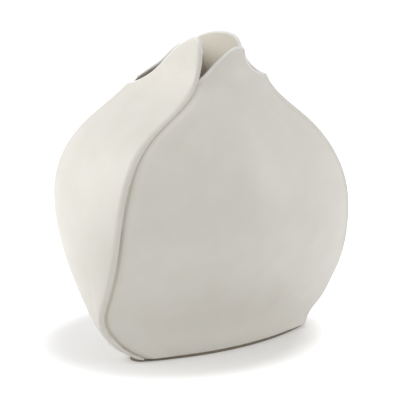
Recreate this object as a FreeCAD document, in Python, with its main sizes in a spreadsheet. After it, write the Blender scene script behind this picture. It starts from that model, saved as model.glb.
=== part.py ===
"""Pillow vase: four bowed slab walls luted at their seams, on a floor slab and a low foot."""
import os
from collections import namedtuple

import FreeCAD
import Part
import Sketcher

doc = FreeCAD.newDocument("PillowVase")
sheet = doc.addObject("Spreadsheet::Sheet", "Sizes")

# Driving sizes in millimetres, each with what it measures
SIZES = (
    ("body_width", 199, "between the side seams at the belly"),
    ("gusset_depth", 83, "front to back over a side wall at the shoulder"),
    ("wall_height", 192, "from the walls' lower edge up to the front notches"),
    ("front_bow", 28, "swell of the front and back walls beyond their seams"),
    ("side_bow", 9, "swell of the side walls beyond their seams"),
    ("lean", 10, "sideways wander of the hand-raised body"),
    ("slab", 4, "rolled thickness of the wall slabs"),
    ("seam_step", 1, "how far a side wall's cut edge stands proud at the neck"),
    ("front_petal", 20, "rise of the front petal above its notches"),
    ("back_petal", 19, "rise of the back petal above its notches"),
    ("left_petal", 28.2, "rise of the left petal above its notches"),
    ("right_petal", 25.7, "rise of the right petal above its notches"),
    ("back_left_drop", 9, "how much lower the back left notch is cut"),
    ("back_right_drop", 2, "how much lower the back right notch is cut"),
    ("floor_slab", 5, "thickness of the floor slab"),
    ("foot_height", 2, "height of the bare foot under the walls"),
    ("foot_inset", 1.5, "foot's set-back from the walls' lower edge"),
    ("foot_width", 7, "width of the foot's standing rim"),
    ("tip_share", 2.4, "times an outline's set-in that its pointed ends are set in"),
    ("blunt_share", 0.6, "part of the side wall's depth that an outline's ends keep"),
    ("coil", 3, "radius of the coils pressed into the inside seams"),
    ("overrun", 12, "how far every cut runs past the clay"),
)
for row, (alias, length, note) in enumerate(SIZES, start=1):
    sheet.set(f"A{row}", alias)
    sheet.set(f"B{row}", str(length))
    sheet.setAlias(f"B{row}", alias)
    sheet.set(f"C{row}", note)
doc.recompute()

# The body's sections from its heel to just over its notches, as shares: height of wall_height,
# half width of body_width, half depth of gusset_depth, then shares of front_bow, side_bow, lean,
# seam_step and the side wall's level thickness over slab, which grows where the wall leans
Level = namedtuple("Level", "name rise width depth front side lean step run")
LEVEL_SHARES = (
    Level("heel", 0.0, 0.375, 0.12, 0.46, 0.1, 0.76, 0.0, 1.7),
    Level("low", 0.03, 0.412, 0.07, 0.63, 0.1, 0.6, 0.0, 1.5),
    Level("turn", 0.07, 0.456, 0.045, 0.7, 0.1, 0.72, 0.0, 1.3),
    Level("hip", 0.135, 0.501, 0.05, 0.84, 0.12, 0.79, 0.0, 1.07),
    Level("cheek", 0.24, 0.514, 0.185, 0.93, 0.45, 0.53, 0.0, 1.0),
    Level("belly", 0.4, 0.5, 0.39, 1.0, 1.03, -0.06, 0.0, 1.0),
    Level("waist", 0.55, 0.482, 0.492, 1.0, 1.05, -0.53, 0.2, 1.02),
    Level("shoulder", 0.7, 0.432, 0.514, 0.84, 0.85, -0.96, 0.6, 1.15),
    Level("slope", 0.83, 0.328, 0.48, 0.61, 0.68, -1.12, 1.0, 1.4),
    Level("neck", 0.925, 0.206, 0.455, 0.38, 0.45, -0.98, 1.0, 1.35),
    Level("notch", 1.0, 0.15, 0.43, 0.2, 0.22, -0.86, 1.0, 0.9),
    Level("lip", 1.09, 0.145, 0.475, 0.1, 0.19, -0.92, 1.0, 0.85),
)
TIP = Level("tip", 1.0, 0.14, 0.482, 0.1, 0.15, -0.95, 1.0, 0.85)
NOTCH = LEVEL_SHARES[-2]
HEEL = LEVEL_SHARES[0]
COILED = LEVEL_SHARES[4:-2]

# Petal outlines as shares: along the mouth's side, then of the petal's rise. The second, fourth
# and every other point after them are each the middle of an arc between their neighbours
FRONT_PETAL_SHARES = (
    (0.0, -0.2), (0.1, 0.07), (0.2, 0.4), (0.33, 0.73), (0.45, 0.95), (0.535, 1.0), (0.6, 0.96),
    (0.628, 0.78), (0.645, 0.6), (0.705, 0.36), (0.79, 0.16), (0.89, 0.04), (1.0, 0.0),
)
LEFT_PETAL_SHARES = (
    (0.0, 0.72), (0.012, 0.87), (0.045, 0.97), (0.1, 1.0), (0.19, 0.94), (0.3, 0.82), (0.45, 0.6),
    (0.6, 0.375), (0.78, 0.13), (0.9, 0.03), (1.0, 0.0),
)
RIGHT_PETAL_SHARES = (
    (0.0, 0.0), (0.12, 0.04), (0.225, 0.17), (0.315, 0.34), (0.37, 0.5), (0.405, 0.68),
    (0.44, 0.84), (0.515, 0.955), (0.61, 1.0), (0.83, 0.965), (1.0, 0.84),
)
BACK_PETAL_SHARES = (
    (0.0, 0.0), (0.05, 0.15), (0.13, 0.28), (0.26, 0.42), (0.376, 0.55), (0.45, 0.67),
    (0.53, 0.81), (0.62, 0.94), (0.72, 1.0), (0.87, 0.8), (1.0, 0.0),
)


def size(formula):
    """The length that a formula of the sheet's sizes gives now."""
    return float(sheet.evalExpression(formula))


def origin_plane(body, role):
    """One of a body's own origin planes."""
    return next(plane for plane in body.Origin.OriginFeatures if plane.Role == role)


def new_sketch(body, name, role):
    """A sketch flat on one of its body's origin planes."""
    sketch = body.newObject("Sketcher::SketchObject", name)
    sketch.AttachmentSupport = [(origin_plane(body, role), "")]
    sketch.MapMode = "FlatFace"
    return sketch


def bind(sketch, constraint, formula):
    """Adds a measured constraint and ties it to its formula."""
    index = sketch.addConstraint(constraint)
    sketch.setExpression(f"Constraints[{index}]", formula)


def pin(sketch, kind, curve, end, formula):
    """Holds a curve's end at a signed formula from the sketch's origin."""
    length = size(formula)
    if length < 0:
        bind(sketch, Sketcher.Constraint(kind, curve, end, -1, 1, -length), f"-({formula})")
    else:
        bind(sketch, Sketcher.Constraint(kind, -1, 1, curve, end, length), formula)


def point(across, along):
    """A point of a sketch from two formulas."""
    return FreeCAD.Vector(size(across), size(along), 0)


def slab_strip(sketch, outer, inner):
    """A strip between two arcs, each given by its start, middle and end, closed by two lines."""
    sketch.addGeometry(Part.Arc(*outer))
    sketch.addGeometry(Part.Arc(*inner))
    sketch.addGeometry(Part.LineSegment(outer[0], inner[0]))
    sketch.addGeometry(Part.LineSegment(outer[2], inner[2]))
    sketch.addConstraint([
        Sketcher.Constraint("Coincident", 0, 1, 2, 1),
        Sketcher.Constraint("Coincident", 1, 1, 2, 2),
        Sketcher.Constraint("Coincident", 0, 2, 3, 1),
        Sketcher.Constraint("Coincident", 1, 2, 3, 2),
    ])


def level_height(level):
    """Formula of a section's height over the ground."""
    if level is TIP:
        petals = "Sizes.front_petal; Sizes.back_petal; Sizes.left_petal; Sizes.right_petal"
        return f"Sizes.foot_height + Sizes.wall_height + max({petals}) + Sizes.overrun"
    return f"Sizes.foot_height + Sizes.wall_height * {level.rise}"


def half_width(level):
    """Formula of the half width between the side seams."""
    return f"Sizes.body_width * {level.width}"


def half_depth(level):
    """Formula of the half depth of a side wall."""
    return f"Sizes.gusset_depth * {level.depth}"


def middle(level):
    """Formula of the section's sideways shift."""
    return f"Sizes.lean * ({level.lean})"


def arc_radius(half_chord, bow):
    """Formula of an arc's radius from its half chord and its bow."""
    return f"(({half_chord})^2 + ({bow})^2) / (2 * ({bow}))"


def side_section(body, level, side):
    """A side wall cut level: its bowed slab, open at both cut edges. side is -1 left, 1 right."""
    sketch = new_sketch(body, f"{body.Name}_{level.name}", "XY_Plane")
    sketch.setExpression("AttachmentOffset.Base.z", level_height(level))
    edge = f"{middle(level)} + {side} * {half_width(level)}"
    inside = f"{edge} - {side} * Sizes.slab * {level.run}"
    bow = f"Sizes.side_bow * {level.side}"
    start = f"-{side} * {half_depth(level)}"
    end = f"{side} * {half_depth(level)}"
    outer = (point(edge, start), point(f"{edge} + {side} * {bow}", "0"), point(edge, end))
    inner = (point(inside, start), point(f"{inside} + {side} * {bow}", "0"), point(inside, end))
    slab_strip(sketch, outer, inner)
    sketch.addConstraint([
        Sketcher.Constraint("Horizontal", 2),
        Sketcher.Constraint("Horizontal", 3),
        Sketcher.Constraint("Symmetric", 0, 1, 0, 2, -1),
        Sketcher.Constraint("Vertical", 1, 1, 1, 2),
        Sketcher.Constraint("Equal", 0, 1),
    ])
    pin(sketch, "DistanceX", 0, 1, edge)
    pin(sketch, "DistanceY", 0, 1, start)
    pin(sketch, "DistanceX", 1, 1, inside)
    radius = arc_radius(half_depth(level), bow)
    bind(sketch, Sketcher.Constraint("Radius", 0, size(radius)), radius)
    return sketch


def face_section(body, level, facing):
    """A front or back wall cut level, its ends inside the side walls. facing is -1 front, 1 back."""
    sketch = new_sketch(body, f"{body.Name}_{level.name}", "XY_Plane")
    sketch.setExpression("AttachmentOffset.Base.z", level_height(level))
    reach = f"({half_width(level)} - Sizes.slab * {level.run} / 2)"
    seam = f"{facing} * ({half_depth(level)} - Sizes.seam_step * {level.step})"
    bow = f"(Sizes.front_bow * {level.front} + Sizes.seam_step * {level.step})"
    radius = arc_radius(reach, bow)
    start = f"{middle(level)} + {facing} * {reach}"
    end = f"{middle(level)} - {facing} * {reach}"
    crown = f"{seam} + {facing} * {bow}"
    centre = point(middle(level), f"{crown} - {facing} * ({radius})")
    outer = (point(start, seam), point(middle(level), crown), point(end, seam))
    inner_radius = f"{radius} - Sizes.slab"
    dip = (size(inner_radius) ** 2 - size(reach) ** 2) ** 0.5
    inner = tuple(
        FreeCAD.Vector(corner.x, centre.y + facing * height, 0)
        for corner, height in zip(outer, (dip, size(inner_radius), dip))
    )
    slab_strip(sketch, outer, inner)
    sketch.addConstraint([
        Sketcher.Constraint("Vertical", 2),
        Sketcher.Constraint("Vertical", 3),
        Sketcher.Constraint("Coincident", 0, 3, 1, 3),
        Sketcher.Constraint("Horizontal", 0, 1, 0, 2),
    ])
    pin(sketch, "DistanceX", 0, 1, start)
    pin(sketch, "DistanceY", 0, 1, seam)
    pin(sketch, "DistanceX", 0, 2, end)
    bind(sketch, Sketcher.Constraint("Radius", 0, size(radius)), radius)
    bind(sketch, Sketcher.Constraint("Radius", 1, size(inner_radius)), inner_radius)
    return sketch


def nearest_end(sketch, curve, place):
    """Which end of a sketch's curve, 1 or 2, lies at a place."""
    gaps = [sketch.getPoint(curve, end).distanceToPoint(place) for end in (1, 2)]
    return 1 if gaps[0] < gaps[1] else 2


def petal_sketch(body, role, first, last, drops, rise, shares):
    """Everything above a petal. first and last are its notches' places along the wall, drops
    how much lower than the front notches they are cut."""
    sketch = new_sketch(body, f"{body.Name}_petal", role)
    notch = "Sizes.foot_height + Sizes.wall_height"
    places = []
    for along, up in shares:
        across = f"({first}) * {1 - along:.3f} + ({last}) * {along}"
        drop = f"{drops[0]} * {1 - along:.3f} + {drops[1]} * {along}"
        places.append((across, f"{notch} - ({drop}) + Sizes.{rise} * {up}"))
    arcs = zip(places[:-2:2], places[1:-1:2], places[2::2])
    previous = None
    for begin, via, end in arcs:
        curve = sketch.addGeometry(Part.Arc(point(*begin), point(*via), point(*end)))
        start = nearest_end(sketch, curve, point(*begin))
        mark = sketch.addGeometry(Part.Point(point(*via)), True)
        pin(sketch, "DistanceX", mark, 1, via[0])
        pin(sketch, "DistanceY", mark, 1, via[1])
        sketch.addConstraint(Sketcher.Constraint("PointOnObject", mark, 1, curve))
        if previous is None:
            opening = (curve, start)
            pin(sketch, "DistanceX", curve, start, begin[0])
            pin(sketch, "DistanceY", curve, start, begin[1])
        else:
            sketch.addConstraint(Sketcher.Constraint("Coincident", *previous, curve, start))
        pin(sketch, "DistanceX", curve, 3 - start, end[0])
        pin(sketch, "DistanceY", curve, 3 - start, end[1])
        previous = (curve, 3 - start)
    close_above(sketch, opening, previous, places[0], places[-1])
    return sketch


def close_above(sketch, opening, closing, first, last):
    """Closes a petal's outline round the clay above it. opening and closing are its free ends."""
    left = f"{first[0]} - Sizes.overrun"
    right = f"{last[0]} + Sizes.overrun"
    top = f"{level_height(TIP)} + Sizes.overrun"
    corners = (last, (right, last[1]), (right, top), (left, top), (left, first[1]), first)
    lines = [
        sketch.addGeometry(Part.LineSegment(point(*one), point(*other)))
        for one, other in zip(corners, corners[1:])
    ]
    sketch.addConstraint(Sketcher.Constraint("Coincident", *closing, lines[0], 1))
    sketch.addConstraint(Sketcher.Constraint("Coincident", lines[-1], 2, *opening))
    for line, following in zip(lines, lines[1:]):
        sketch.addConstraint(Sketcher.Constraint("Coincident", line, 2, following, 1))
    for line, kind in zip(lines, ("Horizontal", "Vertical", "Horizontal", "Vertical", "Horizontal")):
        sketch.addConstraint(Sketcher.Constraint(kind, line))
    pin(sketch, "DistanceX", lines[0], 2, right)
    pin(sketch, "DistanceY", lines[1], 2, top)
    pin(sketch, "DistanceX", lines[2], 2, left)


def loft(body, sections):
    """A loft up through level sections."""
    skin = body.newObject("PartDesign::AdditiveLoft", f"{body.Name}_loft")
    skin.Profile = sections[0]
    skin.Sections = sections[1:]
    return skin


def cut_through(body, sketch):
    """Cuts a wall right through, inside a sketch's outline."""
    doc.recompute()
    before = body.Shape.Volume
    pocket = body.newObject("PartDesign::Pocket", f"{sketch.Name}_cut")
    pocket.Profile = sketch
    pocket.Type = "ThroughAll"
    pocket.Midplane = True
    doc.recompute()
    if body.Shape.Volume >= before:
        raise RuntimeError(f"{body.Name}: {sketch.Name} cut nothing")


def side_wall(name, side, drops, rise, shares):
    """A side wall, running the body's full depth and ending in its petal."""
    body = doc.addObject("PartDesign::Body", name)
    loft(body, [side_section(body, level, side) for level in LEVEL_SHARES + (TIP,)])
    ends = (f"-{half_depth(NOTCH)}", half_depth(NOTCH))
    cut_through(body, petal_sketch(body, "YZ_Plane", *ends, drops, rise, shares))
    return body


def mitre(body, facing):
    """Pares a broad wall off at the body's middle, where its low corners meet its twin's."""
    sketch = new_sketch(body, f"{body.Name}_mitre", "XY_Plane")
    left, right = "-Sizes.body_width", "Sizes.body_width"
    far = f"-{facing} * Sizes.gusset_depth"
    corners = ((left, "0"), (right, "0"), (right, far), (left, far), (left, "0"))
    for one, other in zip(corners, corners[1:]):
        sketch.addGeometry(Part.LineSegment(point(*one), point(*other)))
    for side, kind in enumerate(("Horizontal", "Vertical", "Horizontal", "Vertical")):
        sketch.addConstraint(Sketcher.Constraint("Coincident", side, 2, (side + 1) % 4, 1))
        sketch.addConstraint(Sketcher.Constraint(kind, side))
    sketch.addConstraint(Sketcher.Constraint("PointOnObject", 0, 1, -1))
    pin(sketch, "DistanceX", 0, 1, left)
    pin(sketch, "DistanceX", 0, 2, right)
    pin(sketch, "DistanceY", 1, 2, far)
    cut_through(body, sketch)


def face_blank(name, facing, drops, rise, shares):
    """A front or back wall, cut to its petal and still long at its seams."""
    body = doc.addObject("PartDesign::Body", name)
    loft(body, [face_section(body, level, facing) for level in LEVEL_SHARES + (TIP,)])
    mitre(body, facing)
    ends = [f"{middle(NOTCH)} {sign} {half_width(NOTCH)}" for sign in ("-", "+")]
    cut_through(body, petal_sketch(body, "XZ_Plane", *ends, drops, rise, shares))
    return body


def trimmed(name, blank, neighbours):
    """A blank cut to butt against its neighbours."""
    cut = doc.addObject("Part::Cut", name)
    cut.Base = blank
    cut.Tool = neighbours
    return cut


def heel_outline(sketch, level, inset):
    """The body's eye-shaped outline at a level, set in all round: front, right, back, left arcs."""
    first = sketch.GeometryCount
    reach = f"({half_width(level)} - Sizes.tip_share * ({inset}))"
    blunt = f"({half_depth(level)} * Sizes.blunt_share)"
    crown = f"({half_depth(level)} + Sizes.front_bow * {level.front} - ({inset}))"
    right, left = f"{middle(level)} + {reach}", f"{middle(level)} - {reach}"
    far_right, far_left = f"{right} + {blunt} / 2", f"{left} - {blunt} / 2"
    runs = (
        ((left, f"-{blunt}"), (middle(level), f"-{crown}"), (right, f"-{blunt}")),
        ((right, f"-{blunt}"), (far_right, "0"), (right, blunt)),
        ((right, blunt), (middle(level), crown), (left, blunt)),
        ((left, blunt), (far_left, "0"), (left, f"-{blunt}")),
    )
    for run in runs:
        sketch.addGeometry(Part.Arc(*[point(*place) for place in run]))
    for step in range(4):
        joint = (first + step, 2, first + (step + 1) % 4, 1)
        sketch.addConstraint(Sketcher.Constraint("Coincident", *joint))
    sketch.addConstraint(Sketcher.Constraint("Symmetric", first, 1, first + 2, 2, -1))
    sketch.addConstraint(Sketcher.Constraint("Symmetric", first, 2, first + 2, 1, -1))
    sketch.addConstraint(Sketcher.Constraint("Horizontal", first, 1, first, 2))
    sketch.addConstraint(Sketcher.Constraint("Equal", first, first + 2))
    sketch.addConstraint(Sketcher.Constraint("Equal", first + 1, first + 3))
    pin(sketch, "DistanceX", first, 1, left)
    pin(sketch, "DistanceY", first, 1, f"-{blunt}")
    pin(sketch, "DistanceX", first, 2, right)
    face_radius = arc_radius(reach, f"({crown} - {blunt})")
    side_radius = arc_radius(blunt, f"({blunt} / 2)")
    bind(sketch, Sketcher.Constraint("Radius", first, size(face_radius)), face_radius)
    bind(sketch, Sketcher.Constraint("Radius", first + 1, size(side_radius)), side_radius)


def floor_blank():
    """The floor slab before it is cut to the walls: it opens upward as they do."""
    body = doc.addObject("PartDesign::Body", "floor_blank")
    sections = []
    heights = ("Sizes.foot_height", "Sizes.foot_height + Sizes.floor_slab")
    for level, height in zip(LEVEL_SHARES, heights):
        sketch = new_sketch(body, f"floor_{level.name}", "XY_Plane")
        sketch.setExpression("AttachmentOffset.Base.z", height)
        heel_outline(sketch, level, f"Sizes.slab * {level.run} / 2")
        sections.append(sketch)
    loft(body, sections)
    return body


def foot_ring():
    """The bare standing rim under the walls and the floor's edge."""
    body = doc.addObject("PartDesign::Body", "foot_ring")
    sketch = new_sketch(body, "foot_outline", "XY_Plane")
    heel_outline(sketch, HEEL, "Sizes.foot_inset")
    heel_outline(sketch, HEEL, "Sizes.foot_inset + Sizes.foot_width")
    pad = body.newObject("PartDesign::Pad", "foot_pad")
    pad.Profile = sketch
    pad.setExpression("Length", "Sizes.foot_height")
    return body


def corner_roll(name, side, facing):
    """A round coil up one inside corner, before the walls cut it to a cove."""
    body = doc.addObject("PartDesign::Body", name)
    sections = []
    for level in COILED:
        sketch = new_sketch(body, f"{name}_{level.name}", "XY_Plane")
        sketch.setExpression("AttachmentOffset.Base.z", level_height(level))
        across = f"{middle(level)} + {side} * ({half_width(level)} - Sizes.slab * {level.run})"
        inward = f"{half_depth(level)} - Sizes.seam_step * {level.step} - Sizes.slab"
        sketch.addGeometry(Part.Circle(point(across, f"{facing} * ({inward})"),
                                       FreeCAD.Vector(0, 0, 1), size("Sizes.coil")))
        pin(sketch, "DistanceX", 0, 3, across)
        pin(sketch, "DistanceY", 0, 3, f"{facing} * ({inward})")
        bind(sketch, Sketcher.Constraint("Radius", 0, size("Sizes.coil")), "Sizes.coil")
        sections.append(sketch)
    loft(body, sections)
    return body


LEFT, RIGHT, FRONT, BACK = -1, 1, -1, 1
back_left_drop = ("0", "Sizes.back_left_drop")
back_right_drop = ("0", "Sizes.back_right_drop")
back_drops = ("Sizes.back_left_drop", "Sizes.back_right_drop")

left_wall = side_wall("left_wall", LEFT, back_left_drop, "left_petal", LEFT_PETAL_SHARES)
right_wall = side_wall("right_wall", RIGHT, back_right_drop, "right_petal", RIGHT_PETAL_SHARES)
side_walls = doc.addObject("Part::Compound", "side_walls")
side_walls.Links = [left_wall, right_wall]

front_blank = face_blank("front_blank", FRONT, ("0", "0"), "front_petal", FRONT_PETAL_SHARES)
back_blank = face_blank("back_blank", BACK, back_drops, "back_petal", BACK_PETAL_SHARES)
front_wall = trimmed("front_wall", front_blank, side_walls)
back_wall = trimmed("back_wall", back_blank, side_walls)

walls = doc.addObject("Part::Compound", "walls")
walls.Links = [left_wall, right_wall, front_wall, back_wall]
floor_slab = trimmed("floor_slab", floor_blank(), walls)
foot = foot_ring()

coils = []
for side_name, side, side_wall_part in (("left", LEFT, left_wall), ("right", RIGHT, right_wall)):
    for face_name, facing, face_wall in (("front", FRONT, front_wall), ("back", BACK, back_wall)):
        name = f"{face_name}_{side_name}_coil"
        corner = doc.addObject("Part::Compound", f"{name}_corner")
        corner.Links = [side_wall_part, face_wall]
        coils.append(trimmed(name, corner_roll(f"{name}_roll", side, facing), corner))
doc.recompute()

parts = [front_wall, back_wall, left_wall, right_wall, floor_slab, foot] + coils
for item in doc.Objects:
    if "Invalid" in item.State or "Error" in item.State:
        raise RuntimeError(f"{item.Name} failed: {item.State}")
for part in parts:
    if part.Shape.isNull() or not part.Shape.isValid():
        raise RuntimeError(f"{part.Name} has no valid shape")
    if len(part.Shape.Solids) != 1:
        raise RuntimeError(f"{part.Name} is not one solid")

os.makedirs("parts", exist_ok=True)
for part in parts:
    part.Label = part.Name
    part.Shape.exportStep(f"parts/{part.Label}.step")
    print(part.Label, "solids", len(part.Shape.Solids), "volume", round(part.Shape.Volume))
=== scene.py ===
"""Pillow vase: its looks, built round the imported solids. All lengths are in metres."""
import math
from collections import namedtuple

import bmesh
import bpy
import numpy as np
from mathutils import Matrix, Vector, noise


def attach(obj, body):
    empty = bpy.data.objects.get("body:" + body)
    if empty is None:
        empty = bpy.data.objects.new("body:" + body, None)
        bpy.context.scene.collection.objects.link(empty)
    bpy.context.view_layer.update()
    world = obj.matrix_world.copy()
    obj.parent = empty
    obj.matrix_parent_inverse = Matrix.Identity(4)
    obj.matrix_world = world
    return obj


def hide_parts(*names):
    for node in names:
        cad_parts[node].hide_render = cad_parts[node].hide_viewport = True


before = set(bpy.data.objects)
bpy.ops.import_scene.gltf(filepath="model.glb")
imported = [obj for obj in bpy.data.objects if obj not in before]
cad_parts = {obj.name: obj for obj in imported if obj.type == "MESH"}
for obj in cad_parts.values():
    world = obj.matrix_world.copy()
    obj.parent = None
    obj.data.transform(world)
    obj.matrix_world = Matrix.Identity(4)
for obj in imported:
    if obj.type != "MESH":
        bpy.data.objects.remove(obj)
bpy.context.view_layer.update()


# Foot: the vase's standing rim, a low ring of bare fired clay that the glaze was wiped off so
# that it wouldn't stick to the kiln shelf. It stays a solid and gets its clay here.
FOOT_CLAY = "#9a8f80"
FOOT_STAIN = "#6f6557"
STAIN_SIZE = 0.012
GROG_GRAIN = 0.0011  # coarse sand in the clay
GROG_RELIEF = 0.00022


def linear(colour):
    """A hex colour as linear light, with full cover."""
    shares = [int(colour[place:place + 2], 16) / 255 for place in (1, 3, 5)]
    return [s / 12.92 if s <= 0.04045 else ((s + 0.055) / 1.055) ** 2.4 for s in shares] + [1.0]


def add_node(tree, kind, settings=None, links=None):
    """Adds a node. Settings are its own choices; links fill its sockets by value or by source."""
    made = tree.nodes.new(kind)
    for name, value in (settings or {}).items():
        setattr(made, name, value)
    for socket, value in (links or {}).items():
        if isinstance(value, bpy.types.NodeSocket):
            tree.links.new(value, made.inputs[socket])
        else:
            made.inputs[socket].default_value = value
    return made


def new_material(name):
    """An empty material and its node tree."""
    made = bpy.data.materials.new(name)
    made.use_nodes = True
    made.node_tree.nodes.clear()
    return made, made.node_tree


def bare_clay():
    """Fired stoneware, sanded: matt and dry, a warm grey with sand showing as fine specks."""
    made, tree = new_material("bare_stoneware")
    place = add_node(tree, "ShaderNodeTexCoord").outputs["Object"]
    stain = add_node(tree, "ShaderNodeTexNoise", links={
        "Vector": place, "Scale": 1 / STAIN_SIZE, "Detail": 3.0})
    grog = add_node(tree, "ShaderNodeTexNoise", links={
        "Vector": place, "Scale": 1 / GROG_GRAIN, "Detail": 2.0})
    colour = add_node(tree, "ShaderNodeMix", {"data_type": "RGBA"}, {
        0: stain.outputs["Fac"], 6: linear(FOOT_CLAY), 7: linear(FOOT_STAIN)})
    bump = add_node(tree, "ShaderNodeBump", links={
        "Strength": 0.6, "Distance": GROG_RELIEF, "Height": grog.outputs["Fac"]})
    shader = add_node(tree, "ShaderNodeBsdfPrincipled", links={
        "Base Color": colour.outputs[2], "Roughness": 0.85, "IOR": 1.5,
        "Normal": bump.outputs["Normal"]})
    add_node(tree, "ShaderNodeOutputMaterial", links={"Surface": shader.outputs["BSDF"]})
    return made


def dress(piece, *finishes):
    """Gives a piece its materials."""
    piece.data.materials.clear()
    for finish in finishes:
        piece.data.materials.append(finish)


dress(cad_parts["foot_ring"], bare_clay())


# Floor slab: the rolled slab that closes the bottom between the walls. It shows only from
# above, through the mouth, under the same thin warm glaze that lines the walls.
LINING_PALE = "#d8cfbc"
LINING_DEEP = "#c8bda6"
LINING_CLOUD = 0.03
PAINTED_LIGHT_LINING = "#e6e0d2"  # painted light: paler near the rims, where more light falls into the mouth
PAINTED_LIGHT_FROM = 0.16
PAINTED_LIGHT_TO = 0.215


def lining_glaze():
    """Thin satin glaze over buff clay inside: a clouded warm beige, with painted light making it
    paler up to the rims.
    """
    made, tree = new_material("lining_glaze")
    place = add_node(tree, "ShaderNodeTexCoord").outputs["Object"]
    cloud = add_node(tree, "ShaderNodeTexNoise", links={
        "Vector": place, "Scale": 1 / LINING_CLOUD, "Detail": 3.0})
    height = add_node(tree, "ShaderNodeSeparateXYZ", links={"Vector": place})
    # painted light: the lining pales with height towards the rims
    painted_light_share = add_node(tree, "ShaderNodeMapRange", {"interpolation_type": "SMOOTHSTEP"}, {
        "Value": height.outputs["Z"], "From Min": PAINTED_LIGHT_FROM, "From Max": PAINTED_LIGHT_TO})
    clouded = add_node(tree, "ShaderNodeMix", {"data_type": "RGBA"}, {
        0: cloud.outputs["Fac"], 6: linear(LINING_PALE), 7: linear(LINING_DEEP)})
    colour = add_node(tree, "ShaderNodeMix", {"data_type": "RGBA"}, {
        0: painted_light_share.outputs["Result"], 6: clouded.outputs[2], 7: linear(PAINTED_LIGHT_LINING)})
    shader = add_node(tree, "ShaderNodeBsdfPrincipled", links={
        "Base Color": colour.outputs[2], "Roughness": 0.45, "IOR": 1.5})
    add_node(tree, "ShaderNodeOutputMaterial", links={"Surface": shader.outputs["BSDF"]})
    return made


lining = lining_glaze()
dress(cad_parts["floor_slab"], lining)


# Side walls: two narrow bowed slabs of stoneware that run the body's full depth, raised first.
# Their cut edges show down the front and back as narrow bands, rounded by a damp sponge, and
# each ends above the seams in a petal cut by hand.
BODY_WIDTH = 0.199
GUSSET_DEPTH = 0.083
WALL_HEIGHT = 0.192
FRONT_BOW = 0.028
SIDE_BOW = 0.009
LEAN = 0.010
SLAB = 0.004
SEAM_STEP = 0.001
FOOT_HEIGHT = 0.002
TIP_HEIGHT = 0.2342
LEFT_PETAL = 0.0282
RIGHT_PETAL = 0.0257
BACK_LEFT_DROP = 0.009
BACK_RIGHT_DROP = 0.002
LEFT, RIGHT, FRONT, BACK = -1, 1, -1, 1

# Shares of those sizes up the body, the same as the solids have: rise of the wall height, width
# of the body's, depth of the side walls', front and side of their bows, lean sideways, step of
# the front wall behind the side walls' edges, and how far the slab runs slanting through a level
Level = namedtuple("Level", "rise width depth front side lean step run")
LEVELS = (
    Level(0.0, 0.375, 0.12, 0.46, 0.1, 0.76, 0.0, 1.7),
    Level(0.03, 0.412, 0.07, 0.63, 0.1, 0.6, 0.0, 1.5),
    Level(0.07, 0.456, 0.045, 0.7, 0.1, 0.72, 0.0, 1.3),
    Level(0.135, 0.501, 0.05, 0.84, 0.12, 0.79, 0.0, 1.07),
    Level(0.24, 0.514, 0.185, 0.93, 0.45, 0.53, 0.0, 1.0),
    Level(0.4, 0.5, 0.39, 1.0, 1.03, -0.06, 0.0, 1.0),
    Level(0.55, 0.482, 0.492, 1.0, 1.05, -0.53, 0.2, 1.02),
    Level(0.7, 0.432, 0.514, 0.84, 0.85, -0.96, 0.6, 1.15),
    Level(0.83, 0.328, 0.48, 0.61, 0.68, -1.12, 1.0, 1.4),
    Level(0.925, 0.206, 0.455, 0.38, 0.45, -0.98, 1.0, 1.35),
    Level(1.0, 0.15, 0.43, 0.2, 0.22, -0.86, 1.0, 0.9),
    Level(1.09, 0.145, 0.475, 0.1, 0.19, -0.92, 1.0, 0.85),
    Level((TIP_HEIGHT - FOOT_HEIGHT) / WALL_HEIGHT, 0.14, 0.482, 0.1, 0.15, -0.95, 1.0, 0.85),
)
# Each petal's rim, as shares of the mouth's side from front to back and of the petal's rise
LEFT_OUTLINE = (
    (0.0, 0.72), (0.012, 0.87), (0.045, 0.97), (0.1, 1.0), (0.19, 0.94), (0.3, 0.82), (0.45, 0.6),
    (0.6, 0.375), (0.78, 0.13), (0.9, 0.03), (1.0, 0.0),
)
RIGHT_OUTLINE = (
    (0.0, 0.0), (0.12, 0.04), (0.225, 0.17), (0.315, 0.34), (0.37, 0.5), (0.405, 0.68),
    (0.44, 0.84), (0.515, 0.955), (0.61, 1.0), (0.83, 0.965), (1.0, 0.84),
)

THINNED = 0.7  # share of the slab left at the rim, where it was pinched thin
THINNING = 0.03  # how far below the rim that starts
THICK_SEAMS = 8  # the power that keeps a side slab thick at its seams
RIM_WEAR = 0.0001
EDGE_ROUND = 0.0024
WORN_ROUND = 0.003
INNER_ROUND = 0.0001
EDGE_SINK = 0.0013  # how far a cut edge falls away towards its seam
WORN_SINK = -0.0012  # the front right edge stands at its seam and is worn off outwards
NECK_FILL = 0.45  # share of that fall that slip fills at the neck
HEEL_ROUND = 0.0012
HEEL_WEAR = 0.002  # how much thinner the side slabs were sponged at the heel
HEEL_TAPER = 0.018
HEEL_POWER = 1.5
WAVE = 0.035
WAVE_DEPTH = 0.0006
MARK_FADE = 1.6  # a side wall's hand marks fade out over 1 / MARK_FADE of the way to its seams
# A dent's middle, its reach before and after it across the wall, its reach up, and its depth
Dent = namedtuple("Dent", "across height before after rise depth")
SIDE_DENTS = (Dent(-0.005, 0.055, 0.02, 0.02, 0.022, 0.0012),
              Dent(0.0, 0.15, 0.025, 0.025, 0.025, 0.0012))

CLOUD_SIZE = 0.02
PEEL_SIZE = 0.003
PEEL_RELIEF = 0.0002
GLAZE_WHITE = "#e9e6df"
GLAZE_THIN = "#dfdbd1"
RIM_HIGHLIGHT_WHITE = "#fbfaf7"  # painted highlight: a whiter glaze along the rims and the closed ends, where light catches them
SEAM_SHADE_PALE = "#e0dcd1"  # painted shade: a darker glaze down the seam columns, where shade falls in the crease
SEAM_SHADE_DEEP = "#c9c4b4"
GLAZE, LINED, RIM_HIGHLIGHT, SEAM_SHADE = range(4)  # a wall's material slots

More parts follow.
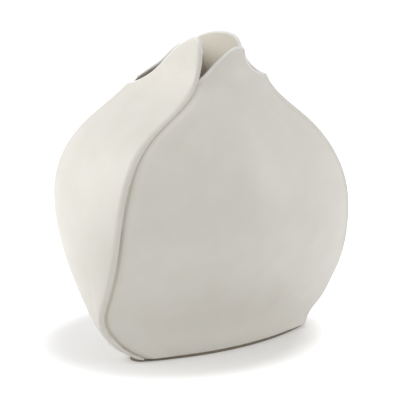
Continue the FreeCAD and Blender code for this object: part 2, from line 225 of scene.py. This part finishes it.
SIDE_SHARES = np.linspace(-0.97, 0.97, 40)
ROW_SHARES = np.linspace(0, 1, 110)[1:-1]
CORNER_TURNS = np.radians(np.linspace(0, 90, 8))
INNER_TURNS = np.radians(np.linspace(0, 90, 4))
RIM_TURNS = np.radians(np.linspace(0, 90, 6))
RIM_END = math.radians(84)  # the last ring before the rim closes
EDGE_DEPTHS = (0.7, 0.8, 0.9, 0.96)
RIM_STEPS = 120
OUTLINE_STEPS = 200
STEEPEST = 2.5


def satin_glaze(name, white, thin):
    """Satin white glaze on stoneware: smooth, softly shining, faintly clouded."""
    made, tree = new_material(name)
    place = add_node(tree, "ShaderNodeTexCoord").outputs["Object"]
    cloud = add_node(tree, "ShaderNodeTexNoise", links={
        "Vector": place, "Scale": 1 / CLOUD_SIZE, "Detail": 4.0})
    peel = add_node(tree, "ShaderNodeTexNoise", links={
        "Vector": place, "Scale": 1 / PEEL_SIZE, "Detail": 2.0})
    colour = add_node(tree, "ShaderNodeMix", {"data_type": "RGBA"}, {
        0: cloud.outputs["Fac"], 6: linear(white), 7: linear(thin)})
    bump = add_node(tree, "ShaderNodeBump", links={
        "Strength": 0.25, "Distance": PEEL_RELIEF, "Height": peel.outputs["Fac"]})
    shader = add_node(tree, "ShaderNodeBsdfPrincipled", links={
        "Base Color": colour.outputs[2], "Roughness": 0.42, "IOR": 1.5,
        "Normal": bump.outputs["Normal"]})
    add_node(tree, "ShaderNodeOutputMaterial", links={"Surface": shader.outputs["BSDF"]})
    return made


wall_finishes = (satin_glaze("satin_white_glaze", GLAZE_WHITE, GLAZE_THIN), lining,
                 satin_glaze("painted_rim_highlight", RIM_HIGHLIGHT_WHITE, GLAZE_WHITE),
                 satin_glaze("painted_seam_shade", SEAM_SHADE_PALE, SEAM_SHADE_DEEP))


def smooth_through(knots, values):
    """The smoothest curve through values at knots, as a function of the place between them."""
    knots, values = np.array(knots, float), np.array(values, float)
    gaps = np.diff(knots)
    system = np.eye(len(knots))
    turns = np.zeros_like(values)
    for middle in range(1, len(knots) - 1):
        before, after = gaps[middle - 1], gaps[middle]
        system[middle, middle - 1:middle + 2] = before, 2 * (before + after), after
        turns[middle] = 6 * ((values[middle + 1] - values[middle]) / after
                             - (values[middle] - values[middle - 1]) / before)
    bend = np.linalg.solve(system, turns)

    def curve(place):
        span = np.clip(np.searchsorted(knots, place) - 1, 0, len(gaps) - 1)
        gap = gaps[span]
        low, high = (knots[span + 1] - place) / gap, (place - knots[span]) / gap
        return (low * values[span] + high * values[span + 1]
                + ((low ** 3 - low) * bend[span] + (high ** 3 - high) * bend[span + 1])
                * gap ** 2 / 6)
    return curve


RISES = [level.rise for level in LEVELS]
CURVES = {name: smooth_through(RISES, [getattr(level, name) for level in LEVELS])
          for name in Level._fields[1:]}
Section = namedtuple("Section", "half_width half_depth crown bow side_bow middle step thick")


def section_at(height):
    """The body's sizes at heights over the ground."""
    rise = (height - FOOT_HEIGHT) / WALL_HEIGHT
    share = {name: curve(rise) for name, curve in CURVES.items()}
    step = SEAM_STEP * share["step"]
    return Section(
        BODY_WIDTH * share["width"], GUSSET_DEPTH * share["depth"],
        GUSSET_DEPTH * share["depth"] + FRONT_BOW * share["front"],
        FRONT_BOW * share["front"] + step, SIDE_BOW * share["side"],
        LEAN * share["lean"], step, SLAB * share["run"])


notch = section_at(np.array([FOOT_HEIGHT + WALL_HEIGHT]))


def petal_top(outline, rise, width, drops):
    """The rim's height over the ground and its slant, as a function of the share along the mouth."""
    along, up = np.array(outline).T
    walk = np.concatenate([[0], np.cumsum(np.hypot(np.diff(along) * width, np.diff(up) * rise))])
    fine = np.linspace(0, walk[-1], OUTLINE_STEPS)
    fine_along = np.maximum.accumulate(smooth_through(walk, along)(fine))
    fine_up = np.minimum(smooth_through(walk, up)(fine), 1.0)
    heights = (FOOT_HEIGHT + WALL_HEIGHT + rise * fine_up
               - drops[0] * (1 - fine_along) - drops[1] * fine_along)
    shares = np.linspace(0, 1, RIM_STEPS)
    heights = np.interp(shares, fine_along, heights) - RIM_WEAR
    slopes = np.gradient(heights, shares * width)
    stretch = np.sqrt(1 + np.minimum(np.abs(slopes), STEEPEST) ** 2)
    return lambda share: (np.interp(share, shares, heights), np.interp(share, shares, stretch))


def hand_marks(across, height, dents, seed):
    """How far the hand pressed a wall in: its broad dents and long soft waves between them."""
    waves = np.empty(np.shape(across))
    for place, (one, other) in enumerate(zip(np.ravel(across), np.ravel(height))):
        waves.flat[place] = noise.noise(Vector((one / WAVE, other / WAVE, seed)))
    pressed = WAVE_DEPTH * (waves + 1) / 2
    for dent in dents:
        reach = np.where(across < dent.across, dent.before, dent.after)
        pressed += dent.depth * np.exp(-((across - dent.across) / reach) ** 2
                                       - ((height - dent.height) / dent.rise) ** 2)
    return pressed


# A column's place: share of the way to a seam and offset from there, share of the way through
# the slab and inset from there
Column = namedtuple("Column", "share offset through inset")


def cut_edge(outer_round):
    """Round a slab's cut edge, from its rounded outer corner to its inner one."""
    corner = [Column(1.0, -outer_round * (1 - math.sin(turn)), 0.0,
                     outer_round * (1 - math.cos(turn))) for turn in CORNER_TURNS]
    slope = [Column(1.0, 0.0, share, 0.0) for share in EDGE_DEPTHS]
    inside = [Column(1.0, -INNER_ROUND * (1 - math.cos(turn)), 1.0,
                     -INNER_ROUND * (1 - math.sin(turn))) for turn in INNER_TURNS]
    return corner + slope + inside


def slab_columns(reach_shares, low_round, high_round):
    """Round a slab's level section: outer face, high cut edge, inner face, low cut edge."""
    outer = [Column(share, -share * (high_round if share > 0 else low_round), 0.0, 0.0)
             for share in reach_shares]
    mirrored = [Column(-column.share, -column.offset, column.through, column.inset)
                for column in reversed(cut_edge(low_round))]
    inner = [Column(column.share, column.offset, 1.0, 0.0) for column in reversed(outer)]
    return outer, cut_edge(high_round), inner, mirrored


def closing_faces(start, face, edge):
    """Closes a ring at its start: strips between its two faces, and a fan at each cut edge."""
    last = face - 1
    far = start + face + edge + last
    strips = [(start + step, start + step + 1, far - step - 1, far - step) for step in range(last)]
    high = [start + last + step for step in range(edge + 2)]
    low = [far + step for step in range(edge + 1)] + [start]
    return strips + [high, low]


def slab_wall(name, columns, place, top, shaded_seams=()):
    """A closed slab: rings of columns climb from its rounded lower edge to its rounded rim."""
    outer, edge, inner, mirrored = columns
    ring = outer + edge + inner + mirrored
    around = len(ring)
    share, offset, through, inset = np.array(ring).T
    rim, stretch = top(share, offset)
    rim_half = SLAB * THINNED / 2
    foot_line = FOOT_HEIGHT + HEEL_ROUND
    rim_line = rim - rim_half * stretch
    rows = [(np.full_like(rim, foot_line - HEEL_ROUND * math.sin(turn)),
             1 - HEEL_ROUND * (1 - math.cos(turn)) / (SLAB / 2)) for turn in RIM_TURNS[::-1]]
    rows += [(foot_line + (rim_line - foot_line) * step, 1.0) for step in ROW_SHARES]
    rows += [(rim - rim_half * (1 - math.sin(turn)) * stretch, math.cos(turn))
             for turn in (*RIM_TURNS[:-1], RIM_END)]
    points = [place(height, share, offset, through, inset, squeeze, rim)
              for height, squeeze in rows]

    highlight_row = len(rows) - len(RIM_TURNS)
    inside = range(len(outer) + len(edge) - 1, len(outer) + len(edge) + len(inner))
    # painted shade: these seam columns take the darker glaze
    shaded_seams = {step % around for step in shaded_seams}
    faces, slots = [], []
    for row in range(len(rows) - 1):
        for step in range(around):
            following = (step + 1) % around
            faces.append((row * around + step, row * around + following,
                          (row + 1) * around + following, (row + 1) * around + step))
            # painted highlight: the rim rows and the closing ends take the whiter glaze
            slots.append(RIM_HIGHLIGHT if row >= highlight_row else SEAM_SHADE if step in shaded_seams
                         else LINED if step in inside else GLAZE)
    for row in (0, len(rows) - 1):
        faces += closing_faces(row * around, len(outer), len(edge))
    slots += [RIM_HIGHLIGHT] * (len(faces) - len(slots))

    mesh = bpy.data.meshes.new(name)
    mesh.from_pydata(np.concatenate(points).tolist(), [], faces)
    wall = bpy.data.objects.new(name, mesh)
    bpy.context.collection.objects.link(wall)
    shape = bmesh.new()
    shape.from_mesh(mesh)
    bmesh.ops.recalc_face_normals(shape, faces=shape.faces)
    shape.to_mesh(mesh)
    shape.free()
    dress(wall, *wall_finishes)
    for face, slot in zip(mesh.polygons, slots):
        face.use_smooth = True
        face.material_index = slot
    return wall


def thinned(height, rim):
    """The slab's share that is left at a height, pinched thinner up to its rim."""
    climb = np.clip((height - rim + THINNING) / THINNING, 0, 1)
    return 1 - (1 - THINNED) * climb ** 2 * (3 - 2 * climb)


def side_swell(now, across):
    """How far a side wall swells out beyond its seams at places along its depth."""
    radius = (now.half_depth ** 2 + now.side_bow ** 2) / (2 * now.side_bow)
    reach = np.minimum(np.abs(across), now.half_depth)
    return np.sqrt(radius ** 2 - reach ** 2) - (radius - now.side_bow)


def sunk(now, across, sinks):
    """How far the cut edges fall at their seams, given the fall below and above zero."""
    return np.where(across < 0, *sinks) * (1 - NECK_FILL * now.step / SEAM_STEP)


def side_place(side, sinks):
    """Where a side wall's columns stand at a height."""
    def place(height, share, offset, through, inset, squeeze, rim):
        now = section_at(height)
        pinched = (1 - thinned(height, rim)) * (1 - share ** THICK_SEAMS)
        thick = now.thick * (1 - pinched)
        sink = np.minimum(sunk(now, share, sinks), now.half_depth / 2)
        across = share * (now.half_depth - sink * through ** 2) + offset
        depth = thick / 2 + (through * thick + inset - thick / 2) * squeeze
        low = np.clip(1 - (height - FOOT_HEIGHT) / HEEL_TAPER, 0, 1)
        depth += (1 - through) * HEEL_WEAR * low ** HEEL_POWER
        marks = hand_marks(across, height, SIDE_DENTS, side)
        depth += marks * np.clip(MARK_FADE * (1 - np.abs(share)), 0, 1)
        out = now.half_width + side_swell(now, across) - depth
        return np.stack([now.middle + side * out, across, height], 1)
    return place


def side_top(outline, rise, drops):
    """A side wall's rim over its columns."""
    width = 2 * float(notch.half_depth[0])
    rim = petal_top(outline, rise, width, drops)
    return lambda share, offset: rim(0.5 + 0.5 * share + offset / width)


for name, side, outline, rise, drops, front_round, front_sink in (
        ("left_wall", LEFT, LEFT_OUTLINE, LEFT_PETAL, (0, BACK_LEFT_DROP),
         EDGE_ROUND, EDGE_SINK),
        ("right_wall", RIGHT, RIGHT_OUTLINE, RIGHT_PETAL, (0, BACK_RIGHT_DROP),
         WORN_ROUND, WORN_SINK)):
    wall = slab_wall(f"{name}_slab", slab_columns(SIDE_SHARES, front_round, EDGE_ROUND),
                     side_place(side, (front_sink, EDGE_SINK)), side_top(outline, rise, drops))
    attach(wall, "root")
    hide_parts(name)


# Front and back walls: the two broad slabs, bowed and dented while soft and butted between the
# side walls. Their edges were smoothed down into the seams, so a shallow valley runs beside
# each seam; slip fills the front right one, and the slip in the front left one drew back.
FRONT_PETAL = 0.02
BACK_PETAL = 0.019
MITRE_GAP = 0.0001
SEAM_ROUND = 0.0001
VALLEY_WIDTH = 0.003
SLIP_WIDTH = 0.014  # how far the slip in the front right seam runs out on the wall
SLIT_DEPTH = 0.0016
SLIT_WIDTH = 0.0007
SLIT_HEIGHT = 0.092
SLIT_RISE = 0.014
MARK_MARGIN = 0.02
FACE_DENTS = (Dent(-0.048, 0.13, 0.035, 0.024, 0.1, 0.0038),
              Dent(0.03, 0.13, 0.022, 0.04, 0.1, 0.0016),
              Dent(-0.045, 0.03, 0.035, 0.03, 0.014, 0.0012))
MARK_SEED = 5
FRONT_OUTLINE = (
    (0.0, -0.2), (0.1, 0.07), (0.2, 0.4), (0.33, 0.73), (0.45, 0.95), (0.535, 1.0), (0.6, 0.96),
    (0.628, 0.78), (0.645, 0.6), (0.705, 0.36), (0.79, 0.16), (0.89, 0.04), (1.0, 0.0),
)
BACK_OUTLINE = (
    (0.0, 0.0), (0.05, 0.15), (0.13, 0.28), (0.26, 0.42), (0.376, 0.55), (0.45, 0.67),
    (0.53, 0.81), (0.62, 0.94), (0.72, 1.0), (0.87, 0.8), (1.0, 0.0),
)
FACE_SHARES = np.sin(np.linspace(-1.45, 1.45, 64))  # closer towards the seams
# painted shade: the seam columns below take the darker glaze
LOW_SEAM = (-1, 0)  # the columns beside the seam at the low end, and at the high end
HIGH_SEAM = (len(FACE_SHARES) - 2, len(FACE_SHARES) - 1)


def face_place(facing, sinks, widths):
    """Where a broad wall's columns stand at a height."""
    def place(height, share, offset, through, inset, squeeze, rim):
        now = section_at(height)
        reach = now.half_width - now.thick / 2
        radius = (reach ** 2 + now.bow ** 2) / (2 * now.bow)
        half = now.half_width - now.thick
        thick = SLAB * thinned(height, rim)
        depth = thick / 2 + (through * thick + inset - thick / 2) * squeeze
        across = share * half + offset
        seam = np.maximum(half - np.abs(across), 0)
        seam_line = now.crown - radius + np.sqrt(radius ** 2 - half ** 2)
        valley = seam_line - now.half_depth + sunk(now, across, sinks)
        width = np.where(across < 0, *widths)
        depth += np.clip(1 - through, 0, 1) * valley * np.exp(-(seam / width) ** 2)
        marks = hand_marks(across, height, FACE_DENTS, MARK_SEED + facing)
        depth += marks * np.clip(seam / MARK_MARGIN, 0, 1)
        if facing == FRONT:
            slit = np.exp(-(seam / SLIT_WIDTH) ** 2 - ((height - SLIT_HEIGHT) / SLIT_RISE) ** 2)
            depth += np.where((across < 0) & (through < 1), SLIT_DEPTH * slit, 0)
        out = now.crown - radius + np.sqrt((radius - depth) ** 2 - across ** 2)
        across = across + share * side_swell(now, out)
        return np.stack([now.middle + across, facing * np.maximum(out, MITRE_GAP), height], 1)
    return place


def face_top(outline, rise, drops):
    """A broad wall's rim over its columns."""
    width = 2 * float(notch.half_width[0])
    half = float(notch.half_width[0] - notch.thick[0])
    rim = petal_top(outline, rise, width, drops)
    return lambda share, offset: rim(0.5 + (share * half + offset) / width)


for name, facing, outline, rise, drops, right_sink, right_width, shaded_seams in (
        ("front_wall", FRONT, FRONT_OUTLINE, FRONT_PETAL, (0, 0),
         WORN_SINK, SLIP_WIDTH, LOW_SEAM),
        ("back_wall", BACK, BACK_OUTLINE, BACK_PETAL, (BACK_LEFT_DROP, BACK_RIGHT_DROP),
         EDGE_SINK, VALLEY_WIDTH, LOW_SEAM + HIGH_SEAM)):
    wall = slab_wall(f"{name}_slab", slab_columns(FACE_SHARES, SEAM_ROUND, SEAM_ROUND),
                     face_place(facing, (EDGE_SINK, right_sink), (VALLEY_WIDTH, right_width)),
                     face_top(outline, rise, drops), shaded_seams)
    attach(wall, "root")
    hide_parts(name)


# Corner coils: soft rolls of clay pressed into the four inside corners so that the seams don't
# open in the fire. They stay solids, under the same lining glaze as the walls.
for name in ("front_left_coil", "front_right_coil", "back_left_coil", "back_right_coil"):
    dress(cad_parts[name], lining)


# Studio: a white sweep of paper in a white room. The camera sees both white, and the paper keeps the
# vase's soft shadow, deepened by a painted shadow: the paper's glow to the camera is weaker inside
# an oval round the base.
FLOOR_REACH = 6.0
PAPER = (0.9, 0.9, 0.9, 1)
SHADE_CENTRE = (-0.01, 0.026, 0.0)
SHADE_REACH = (0.103, 0.092, 1.0)
SHADE_FROM = 0.8  # share of that reach inside which the painted shadow is full
SHADE_TO = 1.3
SHADE_GLOW = 0.14
PAPER_GLOW = 0.8
ROOM_LIGHT = 0.45
ROOM_GLOW = 0.6


def seen_directly(tree):
    """One for the camera's, mirrored and clear rays, and nought for the light that falls."""
    path = add_node(tree, "ShaderNodeLightPath")
    seen = path.outputs["Is Camera Ray"]
    for kind in ("Is Glossy Ray", "Is Transmission Ray"):
        seen = add_node(tree, "ShaderNodeMath", {"operation": "MAXIMUM"}, {
            0: seen, 1: path.outputs[kind]}).outputs[0]
    return seen


floor_mesh = bpy.data.meshes.new("paper_floor")
floor_mesh.from_pydata([(-FLOOR_REACH, -FLOOR_REACH, 0), (FLOOR_REACH, -FLOOR_REACH, 0),
                        (FLOOR_REACH, FLOOR_REACH, 0), (-FLOOR_REACH, FLOOR_REACH, 0)],
                       [], [(0, 1, 2, 3)])
paper_floor = bpy.data.objects.new("paper_floor", floor_mesh)
bpy.context.collection.objects.link(paper_floor)
paper, tree = new_material("white_paper")
matt = add_node(tree, "ShaderNodeBsdfDiffuse", links={"Color": PAPER})
around = add_node(tree, "ShaderNodeVectorMath", {"operation": "SUBTRACT"}, {
    0: add_node(tree, "ShaderNodeTexCoord").outputs["Object"], 1: SHADE_CENTRE})
around = add_node(tree, "ShaderNodeVectorMath", {"operation": "DIVIDE"}, {
    0: around.outputs[0], 1: SHADE_REACH})
away = add_node(tree, "ShaderNodeVectorMath", {"operation": "LENGTH"}, {0: around.outputs[0]})
# painted shadow: less glow inside the oval round the base
painted_shadow_sweep = add_node(tree, "ShaderNodeMapRange", {"interpolation_type": "SMOOTHSTEP"}, {
    "Value": away.outputs["Value"], "From Min": SHADE_FROM, "From Max": SHADE_TO,
    "To Min": SHADE_GLOW, "To Max": PAPER_GLOW})
lift = add_node(tree, "ShaderNodeMath", {"operation": "MULTIPLY"}, {
    0: seen_directly(tree), 1: painted_shadow_sweep.outputs["Result"]})
glow = add_node(tree, "ShaderNodeEmission", links={"Strength": lift.outputs[0]})
both = add_node(tree, "ShaderNodeAddShader", links={0: matt.outputs[0], 1: glow.outputs[0]})
add_node(tree, "ShaderNodeOutputMaterial", links={"Surface": both.outputs[0]})
dress(paper_floor, paper)

world = bpy.data.worlds.new("white_room")
world.use_nodes = True
tree = world.node_tree
tree.nodes.clear()
level = add_node(tree, "ShaderNodeMath", {"operation": "MULTIPLY_ADD"}, {
    0: seen_directly(tree), 1: ROOM_GLOW, 2: ROOM_LIGHT})
air = add_node(tree, "ShaderNodeBackground", links={
    "Color": (1, 1, 1, 1), "Strength": level.outputs[0]})
add_node(tree, "ShaderNodeOutputWorld", links={"Surface": air.outputs[0]})
bpy.context.scene.world = world

# Softboxes: name, place, watts, width and height, all turned to the vase's middle
LAMP_AIM = Vector((0, 0, 0.1))
for name, place, watts, width, height in (
        ("key_softbox", (-0.95, 0.35, 0.55), 5.7, 1.0, 1.0),
        ("top_softbox", (-0.2, -0.1, 1.2), 2.2, 0.8, 0.8),
        ("fill_softbox", (0.8, -0.88, 0.2), 3.9, 0.25, 1.0),
        ("right_softbox", (1.1, -0.15, 0.2), 0.4, 0.6, 0.4)):
    lamp = bpy.data.lights.new(name, "AREA")
    lamp.shape = "RECTANGLE"
    lamp.energy = watts
    lamp.size = width
    lamp.size_y = height
    softbox = bpy.data.objects.new(name, lamp)
    softbox.location = place
    softbox.rotation_euler = (LAMP_AIM - Vector(place)).to_track_quat("-Z", "Y").to_euler()
    bpy.context.collection.objects.link(softbox)

# Camera: at the photograph's place, a long lens a little above the mouth and to the left
CAMERA_PLACE = (-0.5605, -0.7687, 0.310)
CAMERA_TURN = math.radians(35.65)
CAMERA_PITCH = math.radians(12.25)
LENS = 126.4
SENSOR = 36
NEAREST = 0.01
camera_data = bpy.data.cameras.new("camera")
camera_data.lens = LENS
camera_data.sensor_width = SENSOR
camera_data.clip_start = NEAREST
camera = bpy.data.objects.new("camera", camera_data)
camera.location = CAMERA_PLACE
camera.rotation_euler = (math.pi / 2 - CAMERA_PITCH, 0, -CAMERA_TURN)
bpy.context.collection.objects.link(camera)
bpy.context.scene.camera = camera
bpy.context.scene.view_settings.view_transform = "Standard"
